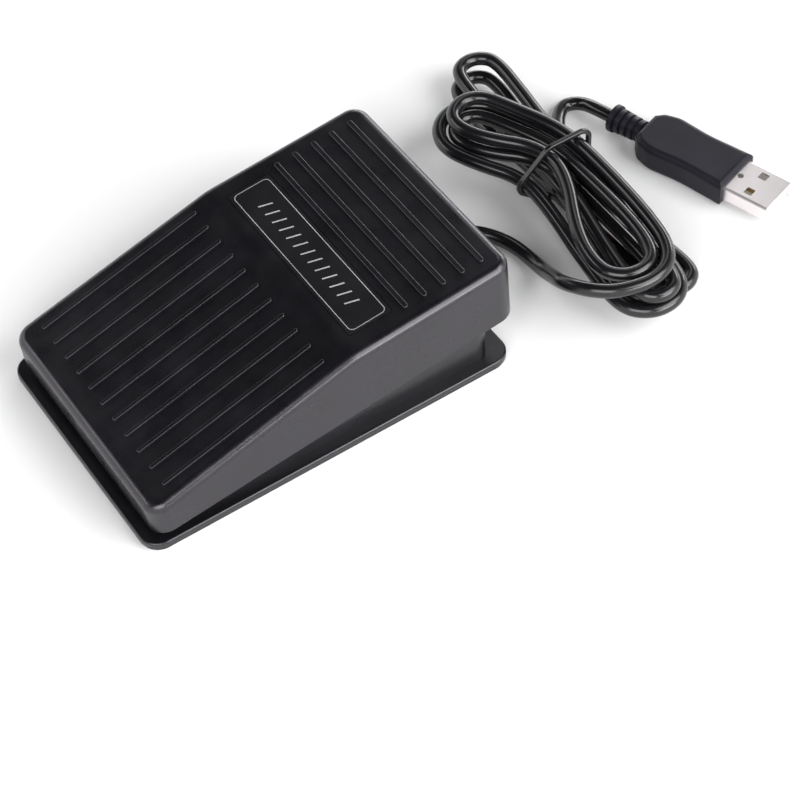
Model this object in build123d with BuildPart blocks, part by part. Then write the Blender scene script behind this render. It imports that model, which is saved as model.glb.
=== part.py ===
from build123d import *
import math
import os

os.makedirs("parts", exist_ok=True)

# Base: a flat tray with a raised wall, standing on a rubber pad
base_length = 100.0
base_width = 67.1
base_corner = 5.0
pad_thickness = 1.1
pad_inset = 0.5
plate_thickness = 1.7
plate_edge = 0.5
wall_inset_side = 3.1
wall_inset_front = 5.4
wall_inset_rear = 4.4
wall_thickness = 1.8
wall_corner = 4.0
wall_height = 17.2
wall_roof_gap = 1.4
overrun = 1.0
flat_within = 20.0

# Hinge: a steel pin across the low front end
hinge_setback = 10.0
hinge_height = 8.5
rest_tilt = 6.87
travel = 6.5
pin_radius = 1.5
pin_wall_gap = 2.15
pin_end_chamfer = 0.3
pin_fixed_gap = 0.02
pin_running_gap = 0.06
base_ear_wall_gap = 9.15
base_ear_width = 4.0
cover_ear_gap = 0.6
cover_ear_width = 4.0
ear_radius = 3.4
ear_foot = 1.6
clip_thickness = 0.6
clip_radius = 2.7
clip_mouth = 1.8
clip_gap = 0.4
groove_depth = 0.4

# Cover: measured in its own frame, along and above the hinge axis
cover_side_step = 0.3
cover_side_lean = 0.85
cover_front_step = 2.3
cover_front_lean = 0.8
cover_overhang = 1.4
cover_rear_lean = 1.9
cover_block_height = 17.0
skirt_drop = 2.7
cover_corner = 4.5
roof_front_step = 0.35
roof_front_height = 5.85
crease_from_rear = 42.7
roof_crease_height = 15.3
roof_back_step = 1.6
roof_back_height = 14.2
roof_bend = 14.0
roof_edge = 2.2
cover_wall = 2.0
roof_thickness = 2.2
inner_corner = 2.5

# Grips and label on the cover
grip_count = 11
grip_side_inset = 4.4
grip_start = 5.1
grip_front_inset = 6.44
grip_width = 1.0
grip_height = 0.5
grip_sink = 0.4
cross_count = 5
cross_pitch = 5.25
cross_start = 17.5
cross_width = 1.3
cross_height = 0.5
grip_round = 0.2
level_within = 0.001
label_side_inset = 5.7
label_width = 11.9
label_start = 2.8
label_depth = 0.4
label_gap = 0.15
label_corner = 0.8

# Catches that hold the cover down against its springs
catch_x = 17.0
catch_width = 12.0
catch_height = 1.6
catch_depth = 2.2
lip_thickness = 1.2
lip_gap = 0.35
lip_reach = 2.2

# Return springs and rubber stops
spring_wall_gap = 8.15
spring_from_board = 9.5
spring_wire = 0.5
spring_radius = 4.0
spring_turns = 6
spring_seat_height = 0.5
spring_clearance = 0.3
spigot_radius = 2.9
spigot_height = 3.0
cover_seat_height = 10.4
cover_spigot_height = 1.8
stop_wall_gap = 4.65
stop_from_rear = 6.8
stop_post_radius = 3.5
stop_radius = 3.2
stop_thickness = 2.2
stop_stem_radius = 1.4
stop_stem_length = 2.0
stop_gap = 0.3
stop_edge = 0.5

# Snap switch under the cover
switch_from_board = 0.7
switch_length = 19.8
switch_width = 6.4
switch_height = 10.0
switch_lift = 4.0
switch_base_height = 2.2
switch_edge = 0.3
switch_hole_radius = 1.15
switch_hole_pitch = 9.5
switch_hole_height = 4.4
bracket_thickness = 3.0
lever_back = 17.6
lever_rise = 1.1
lever_length = 21.2
lever_width = 3.6
lever_thickness = 0.4
lever_barrel = 0.8
lever_pin_radius = 0.5
lever_pin_gap = 0.03
lever_ear_width = 1.1
lever_ear_radius = 1.0
lever_side_gap = 0.3
nose_from_switch = 1.5
nose_drop = 0.2
nose_radius = 1.0
nose_width = 5.0
lever_gap = 0.3
plunger_arm = 6.0
plunger_width = 2.0
plunger_depth = 1.6
plunger_length = 5.0
plunger_gap = 0.1
plunger_well = 6.4
plunger_edge = 0.3
terminal_width = 3.0
terminal_thickness = 0.5
terminal_length = 2.9
terminal_pitch = 7.4
terminal_start = 2.5
terminal_bury = 1.0

# Screws
screw_radius = 1.0
screw_head_radius = 1.9
screw_head_height = 1.1
screw_slot = 0.5
screw_slot_depth = 0.5
screw_pilot_gap = 0.02
screw_hole_gap = 0.15
screw_bite = 2.6
pilot_overrun = 0.4

# Circuit board and its pieces
board_from_rear = 11.3
board_width = 34.0
board_length = 15.0
board_thickness = 1.2
board_lift = 3.4
board_screw_inset = 2.6
standoff_radius = 2.4
chip_side_inset = 9.0
chip_back = 7.5
chip_length = 8.6
chip_width = 3.9
chip_height = 1.5
chip_stand = 0.1
chip_pins = 7
chip_pin_pitch = 1.27
chip_pin_width = 0.4
chip_pin_reach = 1.0
chip_pin_thickness = 0.2
crystal_x = -4.7
crystal_back = 3.2
crystal_length = 10.6
crystal_width = 4.4
crystal_height = 3.3
capacitor_size = (2.0, 1.2, 0.8)
capacitor_back = 11.6
capacitor_side_inset = 7.2
capacitor_pitch = 3.2
capacitor_count = 3
resistor_size = (1.2, 2.0, 0.5)
resistor_back = 7.6
resistor_pitch = 2.2
resistor_count = 2
header_x = -5.0
header_back = 6.5
header_width = 10.0
header_depth = 5.0
header_height = 4.2
housing_width = 9.0
housing_depth = 4.5
housing_height = 3.2
housing_lift = 0.5
housing_edge = 0.3

# Cable entry at the rear of the base
cord_radius = 1.8
entry_x = -5.0
entry_height = 5.6
jacket_past_clamp = 2.4
clamp_from_rear = 3.2
clamp_depth = 2.6
clamp_length = 14.6
clamp_thickness = 1.8
clamp_screw_pitch = 10.4
clamp_boss_radius = 1.95
cradle_width = 5.0
grommet_gap = 0.03
grommet_sleeve = 0.6
grommet_flange = 0.95
grommet_flange_thickness = 1.0
grommet_tail = 8.0
grommet_tail_wall = 0.5
notch_gap = 1.0
notch_top_gap = 1.2

# Inner wires
wire_radius = 0.38
wire_pitch = 2.0
wire_spread = 0.62
wire_run = 1.7
switch_wire_radius = 0.45
switch_lane_first = 7.0
switch_lane_pitch = 2.0
switch_wire_height = 1.6
switch_wire_board_back = 2.0
switch_wire_corner = 0.9

# Cord lying behind the pedal: a hank of long loops, drawn in by a wire tie at its waist.
# Each layer, from the top, has its loops' reach, half width and turn at the left and the right end.
hank_x = -4.5
hank_y = 90.0
hank_left_ends = [(33.0, 9.4, 22.5), (33.8, 10.4, 24.5), (50.3, 8.7, -7.0), (50.2, 10.5, -5.5)]
hank_right_ends = [(49.1, 12.2, -11.9), (53.0, 8.0, -6.8), (51.5, 9.9, -6.2), (48.2, 8.0, 6.2)]
hank_middle_shift = 2.6
hank_pitch = 4.05
hank_waist_pitch = 4.26
hank_waist_inner = 2.15
hank_layers = 4
hank_layer_turns = 1.5
hank_first_turn = 0.25
hank_last_turn = 5.5
hank_lift = 1.7
tie_radius = 0.65
tie_edge = 0.4

# Free stretch from the pedal to the hank, and from the hank to the plug; points chosen by hand
lead_route = [
    (-3.4, 63.6, 3.9),
    (0.2, 67.7, 2.6),
    (5.2, 70.1, 2.0),
    (11.4, 70.7, 2.1),
    (17.8, 69.8, 4.4),
    (24.2, 67.8, 9.4),
    (30.4, 66.2, 13.7),
    (37.5, 69.3, 15.6),
]
tail_route = [
    (-14.8, 98.6, 3.4),
    (-19.6, 101.6, 2.8),
    (-25.4, 105.4, 2.0),
    (-28.4, 109.4, 1.9),
    (-26.2, 113.4, 2.2),
]
straight_end = 5.4
corner_share = 0.45
same_way = 1e-9

# Plug on the cord's end, lying on the floor
plug_tip = (32.2, 131.0)
plug_turn = 17.5
plug_height = 3.8
shell_length = 12.4
shell_width = 12.0
shell_thickness = 4.5
shell_wall = 0.3
shell_bury = 5.0
shell_corner = 0.6
window_size = 2.2
window_pitch = 6.4
window_back = 5.5
dimple_radius = 0.8
tongue_thickness = 1.9
tongue_gap = 0.15
tongue_recess = 0.8
contact_width = 1.0
contact_pitch = 2.25
contact_thickness = 0.2
contact_length = 7.5
body_length = 28.0
body_width_front = 14.6
body_width_waist = 13.4
body_width_shoulder = 15.0
body_width_heel = 12.6
body_width_back = 8.4
body_waist_share = 0.45
body_shoulder_share = 0.78
body_heel_share = 0.93
body_waist_bend = 40.0
body_shoulder_bend = 8.0
body_heel_bend = 3.0
body_thickness = 7.6
body_edge = 1.6
relief_length = 9.6
relief_radius = 2.5
relief_ring_radii = (3.7, 3.3, 3.2, 3.1, 3.0)
relief_ring_length = 1.2
relief_ring_gap = 0.8
relief_bore_depth = 4.0

# Places of the cover and of what lies inside, worked out from the base's sizes
inner_half = base_width / 2 - wall_inset_side - wall_thickness
inner_back = base_length - hinge_setback - wall_inset_rear - wall_thickness
cover_width_low = base_width - 2 * cover_side_step
cover_width_high = cover_width_low - 2 * cover_side_lean
cover_front_low = cover_front_step - hinge_setback
cover_front_high = cover_front_low + cover_front_lean
cover_back_low = base_length - hinge_setback + cover_overhang
cover_back_high = cover_back_low + cover_rear_lean
roof_front = cover_front_low + roof_front_step
roof_crease = cover_back_low - crease_from_rear
roof_back = cover_back_low + roof_back_step
board_back = inner_back - board_from_rear - board_length
chip_x = board_width / 2 - chip_side_inset
capacitor_first_x = board_width / 2 - capacitor_side_inset - (capacitor_count - 1) * capacitor_pitch
resistor_middle = (header_x - header_width / 2 - board_width / 2) / 2
resistor_first_x = resistor_middle - (resistor_count - 1) * resistor_pitch / 2
switch_front = board_back - switch_from_board - switch_length
nose_back = switch_front - nose_from_switch
spring_x = inner_half - spring_wall_gap
spring_back = board_back - spring_from_board
stop_x = inner_half - stop_wall_gap
stop_back = inner_back - stop_from_rear
clamp_back = inner_back - clamp_from_rear
jacket_start = clamp_back - jacket_past_clamp
base_ear_x = inner_half - base_ear_wall_gap - base_ear_width / 2
pin_length = 2 * (inner_half - pin_wall_gap)
grip_pitch = (cover_width_high - 2 * grip_side_inset) / (grip_count - 1)
cross_length = cover_width_high - 2 * grip_side_inset
label_length = cover_width_high - 2 * label_side_inset

# Places worked out from the sizes
tilt = math.radians(rest_tilt)
rear_low = cover_back_low * math.cos(tilt) + skirt_drop * math.sin(tilt)
rear_high = roof_back * math.cos(tilt) - roof_back_height * math.sin(tilt)
cover_reach = max(rear_low, rear_high)
rear_overhang = max(0, hinge_setback + cover_reach - base_length)
base_y = -rear_overhang / 2
front_y = base_y - base_length / 2
hinge_y = front_y + hinge_setback
floor_z = pad_thickness + plate_thickness
wall_top = floor_z + wall_height
wall_half = base_width / 2 - wall_inset_side
wall_front_y = front_y + wall_inset_front
wall_rear_y = base_y + base_length / 2 - wall_inset_rear
cover_ear_x = base_ear_x + base_ear_width / 2 + cover_ear_gap + cover_ear_width / 2

floor_plane = Plane.XY.offset(floor_z)
hinge_side = Plane(origin=(0, hinge_y, hinge_height), x_dir=(0, 1, 0), z_dir=(1, 0, 0))
pedal_plane = Plane(
    origin=(0, hinge_y, hinge_height),
    x_dir=(1, 0, 0),
    z_dir=(0, -math.sin(tilt), math.cos(tilt)),
)
pedal_side = Plane(origin=pedal_plane.origin, x_dir=pedal_plane.y_dir, z_dir=(1, 0, 0))

front_slope = math.atan2(roof_crease_height - roof_front_height, roof_crease - roof_front)
back_slope = math.atan2(roof_back_height - roof_crease_height, roof_back - roof_crease)
grip_length = (roof_crease - roof_front) / math.cos(front_slope) - grip_start - grip_front_inset


def roof_height(back):
    """Height of the cover's outer roof above the hinge axis, in the cover's own frame."""
    slope = front_slope if back < roof_crease else back_slope
    return roof_crease_height + (back - roof_crease) * math.tan(slope)


def roof_under(back):
    """Height of the cover's inner roof above the hinge axis."""
    return roof_height(back) - roof_thickness


def roof_plane(slope):
    """Plane on one of the two flat roof faces, from the crease, with local Y running back."""
    crease = pedal_plane.from_local_coords(Vector(0, roof_crease, roof_crease_height))
    normal = pedal_plane.z_dir * math.cos(slope) - pedal_plane.y_dir * math.sin(slope)
    return Plane(origin=crease, x_dir=(1, 0, 0), z_dir=normal)


def in_world(back, height, pressed):
    """Y and Z of a point of the cover, with the pedal pressed by some degrees."""
    angle = math.radians(rest_tilt - pressed)
    y = back * math.cos(angle) - height * math.sin(angle)
    z = back * math.sin(angle) + height * math.cos(angle)
    return hinge_y + y, hinge_height + z


def edges_at(part, plane, height):
    """Edges of a part that lie at a height above a plane."""
    return [
        edge
        for edge in part.edges()
        if math.isclose(plane.to_local_coords(edge.center()).Z, height, abs_tol=level_within)
    ]


def save(part, name):
    """Label a finished piece and write it to its own file."""
    part.label = name
    export_step(part, f"parts/{name}.step")


def corner_radii(route):
    """Largest even bend at each corner of a route of straight runs."""
    points = [Vector(point) for point in route]
    radii = []
    for before, here, after in zip(points, points[1:], points[2:]):
        half_turn = math.radians((here - before).get_angle(after - here) / 2)
        shorter = min((here - before).length, (after - here).length)
        radii.append(corner_share * shorter / math.tan(half_turn))
    return radii


def tube(route, radii, radius):
    """Round tube along straight runs joined by tangent arcs."""
    with BuildPart() as piece:
        with BuildLine() as path:
            FilletPolyline(*route, radius=radii)
        with BuildSketch(Plane(origin=path.line @ 0, z_dir=path.line % 0)):
            Circle(radius)
        sweep(path=path.line)
    return piece.part


def biarc_middle(start, start_way, end, end_way):
    """Point where two arcs meet that leave start and reach end along the given directions."""
    chord = end - start
    ways = start_way + end_way
    square = 2 * (1 - start_way.dot(end_way))
    reach = chord.dot(ways)
    if math.isclose(start_way.dot(end_way), 1, abs_tol=same_way):
        length = chord.dot(chord) / (2 * reach)
    else:
        length = (math.sqrt(reach * reach + square * chord.dot(chord)) - reach) / square
    return (start + start_way * length + end - end_way * length) / 2


def arc_tube(stations, radius):
    """Round tube through stations, each a point and a direction, on two arcs between each pair."""
    with BuildPart() as piece:
        with BuildLine() as path:
            for (start, start_way), (end, end_way) in zip(stations, stations[1:]):
                middle = biarc_middle(start, start_way, end, end_way)
                first = TangentArc(start, middle, tangent=start_way)
                TangentArc(middle, end, tangent=first % 1)
        with BuildSketch(Plane(origin=stations[0][0], z_dir=stations[0][1])):
            Circle(radius)
        sweep(path=path.line)
    return piece.part


# Grip pad: the rubber sheet under the base
with BuildPart() as grip_pad:
    with BuildSketch():
        with Locations((0, base_y)):
            RectangleRounded(
                base_width - 2 * pad_inset,
                base_length - 2 * pad_inset,
                base_corner - pad_inset,
            )
    extrude(amount=pad_thickness)
save(grip_pad.part, "grip_pad")

# Board, switch and clamp places that the base carries
board_y = hinge_y + board_back + board_length / 2
board_z = floor_z + board_lift
board_top = board_z + board_thickness
board_plane = Plane.XY.offset(board_top)
board_screw_x = board_width / 2 - board_screw_inset
board_screw_y = board_length / 2 - board_screw_inset
board_screw_spots = [
    (side * board_screw_x, board_y + end * board_screw_y)
    for side in (-1, 1)
    for end in (-1, 1)
]
switch_y = hinge_y + switch_front + switch_length / 2
switch_z = floor_z + switch_lift
switch_top = switch_z + switch_height
switch_side = Plane(origin=(0, switch_y, switch_z), x_dir=(0, 1, 0), z_dir=(1, 0, 0))
switch_hole_spots = [(side * switch_hole_pitch / 2, switch_hole_height) for side in (-1, 1)]
clamp_y = hinge_y + clamp_back
clamp_z = entry_height + cord_radius
clamp_spots = [(entry_x + side * clamp_screw_pitch / 2, clamp_y) for side in (-1, 1)]
spring_spots = [(-spring_x, hinge_y + spring_back), (spring_x, hinge_y + spring_back)]
nose_height = roof_under(nose_back) - nose_drop
stop_spots = [(-stop_x, hinge_y + stop_back), (stop_x, hinge_y + stop_back)]
stop_top = in_world(stop_back, roof_under(stop_back), travel)[1] - stop_gap
stop_seat = stop_top - stop_thickness
catch_top = -skirt_drop + catch_height
lip_under = in_world(cover_back_low, catch_top, 0)[1] + lip_gap
entry_plane = Plane(origin=(entry_x, wall_rear_y, entry_height), x_dir=(-1, 0, 0), z_dir=(0, 1, 0))
sleeve_radius = cord_radius + grommet_sleeve
flange_radius = cord_radius + grommet_flange

# Base tray: plate, wall, hinge ears and the posts that carry what lies inside
with BuildPart() as base_tray:
    with BuildSketch(Plane.XY.offset(pad_thickness)):
        with Locations((0, base_y)):
            RectangleRounded(base_width, base_length, base_corner)
    extrude(amount=plate_thickness)
    rim = base_tray.edges().group_by(Axis.Z)[-1]
    fillet(rim, plate_edge)
    wall_middle = (wall_front_y + wall_rear_y) / 2
    wall_length = wall_rear_y - wall_front_y
    with BuildSketch(floor_plane):
        with Locations((0, wall_middle)):
            RectangleRounded(2 * wall_half, wall_length, wall_corner)
            RectangleRounded(
                2 * (wall_half - wall_thickness),
                wall_length - 2 * wall_thickness,
                wall_corner - wall_thickness,
                mode=Mode.SUBTRACT,
            )
    extrude(amount=wall_height)
    # The front of the wall follows the roof of the pressed cover
    slope_low = roof_front_height - roof_thickness - wall_roof_gap
    slope_high = slope_low + base_length * math.tan(front_slope)
    with BuildSketch(hinge_side):
        Polygon(
            (roof_front, slope_low),
            (roof_front + base_length, slope_high),
            (roof_front, slope_high),
            align=None,
        )
    extrude(amount=base_width, both=True, mode=Mode.SUBTRACT)
    # Slots in the front of the wall for the cover's ears
    with BuildSketch(floor_plane):
        with Locations((-cover_ear_x, wall_front_y), (cover_ear_x, wall_front_y)):
            Rectangle(cover_ear_width + 2 * cover_ear_gap, 2 * (wall_thickness + overrun))
    extrude(amount=wall_height, mode=Mode.SUBTRACT)
    # Hinge ears
    for side in (-1, 1):
        with BuildSketch(hinge_side.offset(side * base_ear_x)):
            Circle(ear_radius)
            with Locations((0, (floor_z - hinge_height) / 2)):
                Rectangle(2 * (ear_radius + ear_foot), hinge_height - floor_z)
            Circle(pin_radius + pin_fixed_gap, mode=Mode.SUBTRACT)
        extrude(amount=base_ear_width / 2, both=True)
    # Spring seats
    with BuildSketch(floor_plane):
        with Locations(*spring_spots):
            Circle(spring_radius + 2 * spring_wire)
    extrude(amount=spring_seat_height)
    with BuildSketch(floor_plane):
        with Locations(*spring_spots):
            Circle(spigot_radius)
    extrude(amount=spring_seat_height + spigot_height)
    # Posts for the rubber stops
    with BuildSketch(floor_plane):
        with Locations(*stop_spots):
            Circle(stop_post_radius)
    extrude(amount=stop_seat - floor_z)
    with BuildSketch(Plane.XY.offset(stop_seat)):
        with Locations(*stop_spots):
            Circle(stop_stem_radius)
    extrude(amount=-stop_stem_length, mode=Mode.SUBTRACT)
    # Standoffs for the circuit board
    with BuildSketch(floor_plane):
        with Locations(*board_screw_spots):
            Circle(standoff_radius)
    extrude(amount=board_lift)
    with BuildSketch(Plane.XY.offset(board_z)):
        with Locations(*board_screw_spots):
            Circle(screw_radius + screw_pilot_gap)
    extrude(amount=-screw_bite - pilot_overrun, mode=Mode.SUBTRACT)
    # Upright bracket beside the switch
    with BuildSketch(switch_side.offset(-switch_width / 2)):
        with Locations((0, (switch_height - switch_lift) / 2)):
            Rectangle(switch_length, switch_height + switch_lift)
    extrude(amount=-bracket_thickness)
    with BuildSketch(switch_side.offset(-switch_width / 2)):
        with Locations(*switch_hole_spots):
            Circle(screw_radius + screw_pilot_gap)
    extrude(amount=-bracket_thickness, mode=Mode.SUBTRACT)
    # Cradle and screw bosses that hold the cable
    with BuildSketch(floor_plane):
        with Locations((entry_x, clamp_y)):
            Rectangle(cradle_width, clamp_depth)
    extrude(amount=entry_height - cord_radius - floor_z)
    with BuildSketch(floor_plane):
        with Locations(*clamp_spots):
            Circle(clamp_boss_radius)
    extrude(amount=clamp_z - floor_z)
    with BuildSketch(Plane.XY.offset(clamp_z)):
        with Locations(*clamp_spots):
            Circle(screw_radius + screw_pilot_gap)
    extrude(amount=-screw_bite - pilot_overrun, mode=Mode.SUBTRACT)
    # Cable hole through the rear wall
    with BuildSketch(entry_plane):
        Circle(sleeve_radius + grommet_gap)
    extrude(amount=-wall_thickness, mode=Mode.SUBTRACT)
    # Catch lips on the rear wall, each on a stretch of wall that reaches it
    with BuildSketch(floor_plane):
        with Locations((-catch_x, wall_rear_y), (catch_x, wall_rear_y)):
            Rectangle(catch_width, wall_thickness, align=(Align.CENTER, Align.MAX))
    extrude(amount=lip_under + lip_thickness - floor_z)
    with BuildSketch(Plane.XY.offset(lip_under)):
        with Locations((-catch_x, wall_rear_y), (catch_x, wall_rear_y)):
            Rectangle(catch_width, lip_reach, align=(Align.CENTER, Align.MIN))
    extrude(amount=lip_thickness)
save(base_tray.part, "base_tray")

# Pedal cover: the hollow inside it
cover_sections = [
    (-skirt_drop, cover_front_low, cover_back_low, cover_width_low),
    (cover_block_height, cover_front_high, cover_back_high, cover_width_high),
]
with BuildPart() as cover_hollow:
    for height, front, back, width in cover_sections:
        with BuildSketch(pedal_plane.offset(height)):
            with Locations((0, (front + back) / 2)):
                RectangleRounded(width - 2 * cover_wall, back - front - 2 * cover_wall, inner_corner)
    loft(ruled=True)
    with BuildSketch(pedal_side):
        with BuildLine():
            under = FilletPolyline(
                (roof_front - cover_wall, roof_under(roof_front - cover_wall)),
                (roof_crease, roof_under(roof_crease)),
                (roof_back + cover_wall, roof_under(roof_back + cover_wall)),
                radius=roof_bend - roof_thickness,
            )
            Polyline(
                under @ 1,
                (roof_back + cover_wall, 2 * cover_block_height),
                (roof_front - cover_wall, 2 * cover_block_height),
                under @ 0,
            )
        make_face()
    extrude(amount=cover_width_low, both=True, mode=Mode.SUBTRACT)

# Pedal cover: outer shell, grips, label recess, ears, nose, spring seats and catches
with BuildPart() as pedal_cover:
    for height, front, back, width in cover_sections:
        with BuildSketch(pedal_plane.offset(height)):
            with Locations((0, (front + back) / 2)):
                RectangleRounded(width, back - front, cover_corner)
    loft(ruled=True)
    with BuildSketch(pedal_side):
        with BuildLine():
            roof = FilletPolyline(
                (roof_front - cover_wall, roof_height(roof_front - cover_wall)),
                (roof_crease, roof_crease_height),
                (roof_back + cover_wall, roof_height(roof_back + cover_wall)),
                radius=roof_bend,
            )
            Polyline(
                roof @ 1,
                (roof_back + cover_wall, 2 * cover_block_height),
                (roof_front - cover_wall, 2 * cover_block_height),
                roof @ 0,
            )
        make_face()
    extrude(amount=cover_width_low, both=True, mode=Mode.SUBTRACT)
    roof_faces = pedal_cover.faces().filter_by(
        lambda face: face.normal_at().get_angle(pedal_plane.z_dir) < flat_within
    )
    roof_edges = roof_faces.edges()
    crease_edges = [
        edge
        for edge in roof_edges
        if edge.geom_type == GeomType.LINE
        and abs((edge % 0).X) > math.cos(math.radians(flat_within) / 2)
        and roof_front + roof_edge + cover_wall
        < pedal_plane.to_local_coords(edge.center()).Y
        < roof_back - roof_edge - cover_wall
    ]
    fillet([edge for edge in roof_edges if edge not in crease_edges], roof_edge)
    add(cover_hollow.part, mode=Mode.SUBTRACT)
    # Eleven lengthwise grips on the front roof
    with BuildSketch(roof_plane(front_slope).offset(-grip_sink)):
        with Locations((0, -grip_start - grip_length / 2)):
            with GridLocations(grip_pitch, 0, grip_count, 1):
                SlotOverall(grip_length, grip_width, rotation=90)
    extrude(amount=grip_sink + grip_height)
    fillet(edges_at(pedal_cover, roof_plane(front_slope), grip_height), grip_round)
    # Five crosswise grips on the rear roof
    with BuildSketch(roof_plane(back_slope).offset(-grip_sink)):
        with Locations((0, cross_start + cross_pitch * (cross_count - 1) / 2)):
            with GridLocations(0, cross_pitch, 1, cross_count):
                SlotOverall(cross_length, cross_width)
    extrude(amount=grip_sink + cross_height)
    fillet(edges_at(pedal_cover, roof_plane(back_slope), cross_height), grip_round)
    # Shallow recess for the label
    with BuildSketch(roof_plane(back_slope)):
        with Locations((0, label_start + label_width / 2)):
            RectangleRounded(label_length, label_width, label_corner)
    extrude(amount=-label_depth, mode=Mode.SUBTRACT)
    # Hinge ears under the front roof
    ear_top = roof_under(ear_radius)
    for side in (-1, 1):
        with BuildSketch(pedal_side.offset(side * cover_ear_x)):
            Circle(ear_radius)
            with Locations((0, ear_top / 2)):
                Rectangle(2 * ear_radius, ear_top)
            Circle(pin_radius + pin_running_gap, mode=Mode.SUBTRACT)
        extrude(amount=cover_ear_width / 2, both=True)
    # Rounded nose that presses the switch lever
    nose_top = roof_under(nose_back + nose_radius)
    with BuildSketch(pedal_side):
        with Locations((nose_back, nose_height)):
            Circle(nose_radius)
        with Locations((nose_back, (nose_height + nose_top) / 2)):
            Rectangle(2 * nose_radius, nose_top - nose_height)
    extrude(amount=nose_width / 2, both=True)
    # Seats and spigots for the return springs
    seat_roof = roof_under(spring_back + spring_radius)
    seat_shift = cover_seat_height * math.tan(tilt)
    seat_spots = [(-spring_x, spring_back + seat_shift), (spring_x, spring_back + seat_shift)]
    with BuildSketch(pedal_plane.offset(cover_seat_height)):
        with Locations(*seat_spots):
            Circle(spring_radius + 2 * spring_wire)
    extrude(amount=seat_roof - cover_seat_height + grip_sink)
    with BuildSketch(pedal_plane.offset(cover_seat_height - cover_spigot_height)):
        with Locations(*seat_spots):
            Circle(spigot_radius)
    extrude(amount=cover_spigot_height)
    # Catches inside the rear wall
    with BuildSketch(pedal_plane.offset(-skirt_drop)):
        with Locations(*[(side * catch_x, cover_back_low - cover_wall) for side in (-1, 1)]):
            Rectangle(catch_width, catch_depth, align=(Align.CENTER, Align.MAX))
            Rectangle(catch_width, cover_wall / 2, align=(Align.CENTER, Align.MIN))
    extrude(amount=catch_height)
    # Notch over the cable in the rear wall
    pressed_skirt = in_world(cover_back_low, -skirt_drop, travel)[1]
    notch_height = entry_height + flange_radius + notch_top_gap - pressed_skirt
    with BuildSketch(pedal_plane.offset(-skirt_drop)):
        with Locations((entry_x, cover_back_low)):
            Rectangle(2 * (flange_radius + notch_gap), 2 * (cover_wall + overrun))
    extrude(amount=notch_height, mode=Mode.SUBTRACT)
save(pedal_cover.part, "pedal_cover")

# Label plate: a bare inlay, flush with the roof
with BuildPart() as label_plate:
    with BuildSketch(roof_plane(back_slope).offset(-label_depth)):
        with Locations((0, label_start + label_width / 2)):
            RectangleRounded(
                label_length - 2 * label_gap,
                label_width - 2 * label_gap,
                label_corner - label_gap,
            )
    extrude(amount=label_depth)
save(label_plate.part, "label_plate")

# Hinge pin with a clip groove near each end
clip_x = cover_ear_x + cover_ear_width / 2 + clip_gap + clip_thickness / 2
with BuildPart() as hinge_pin:
    with BuildSketch(hinge_side):
        Circle(pin_radius)
    extrude(amount=pin_length / 2, both=True)
    chamfer(hinge_pin.edges().filter_by(GeomType.CIRCLE), pin_end_chamfer)
    for side in (-1, 1):
        with BuildSketch(hinge_side.offset(side * clip_x)):
            Circle(pin_radius + overrun)
            Circle(pin_radius - groove_depth, mode=Mode.SUBTRACT)
        extrude(amount=clip_thickness / 2, both=True, mode=Mode.SUBTRACT)
save(hinge_pin.part, "hinge_pin")

# Spring clips that keep the pin in place, one at each end
with BuildPart() as hinge_clips:
    for side in (-1, 1):
        with BuildSketch(hinge_side.offset(side * clip_x)):
            Circle(clip_radius)
            Circle(pin_radius - groove_depth + pin_fixed_gap, mode=Mode.SUBTRACT)
            with Locations((0, -clip_radius)):
                Rectangle(clip_mouth, 2 * clip_radius, mode=Mode.SUBTRACT)
        extrude(amount=clip_thickness / 2 - pin_fixed_gap, both=True)
save(hinge_clips.part, "hinge_clips")

# Return springs: round wire, wound in quarter turns
spring_low = floor_z + spring_seat_height + spring_wire
seat_low = in_world(spring_back + seat_shift, cover_seat_height, 0)[1]
seat_dip = (spring_radius + spring_wire) * math.sin(tilt)
spring_high = seat_low - seat_dip - spring_clearance - spring_wire
for name, (spot_x, spot_y) in zip(("return_spring_left", "return_spring_right"), spring_spots):
    rise_per_turn = (spring_high - spring_low) / spring_turns
    quarter_rise = rise_per_turn / (2 * math.pi * spring_radius)
    spring_stations = []
    for quarter in range(4 * spring_turns + 1):
        angle = quarter * math.pi / 2
        point = Vector(
            spot_x + spring_radius * math.cos(angle),
            spot_y + spring_radius * math.sin(angle),
            spring_low + rise_per_turn * quarter / 4,
        )
        way = Vector(-math.sin(angle), math.cos(angle), quarter_rise).normalized()
        spring_stations.append((point, way))
    save(arc_tube(spring_stations, spring_wire), name)

# Rubber stops that the pressed cover lands on
with BuildPart() as stop_bumpers:
    with BuildSketch(Plane.XY.offset(stop_seat)):
        with Locations(*stop_spots):
            Circle(stop_radius)
    extrude(amount=stop_thickness)
    fillet(stop_bumpers.edges().group_by(Axis.Z)[-1], stop_edge)
    with BuildSketch(Plane.XY.offset(stop_seat)):
        with Locations(*stop_spots):
            Circle(stop_stem_radius - pin_fixed_gap)
    extrude(amount=-stop_stem_length)
save(stop_bumpers.part, "stop_bumpers")

# Switch lever angle: the lever lies level when the pedal is fully pressed
lever_y = hinge_y + switch_front + lever_back
lever_z = switch_top + lever_rise
nose_y, nose_z = in_world(nose_back, nose_height, 0)
nose_away = math.hypot(nose_y - lever_y, nose_z - lever_z)
nose_angle = math.atan2(nose_z - lever_z, lever_y - nose_y)
lever_angle = nose_angle - math.asin((nose_radius + lever_gap + lever_thickness / 2) / nose_away)
lever_ratio = lever_angle / math.radians(travel)
plunger_ratio = plunger_arm * lever_ratio

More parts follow.
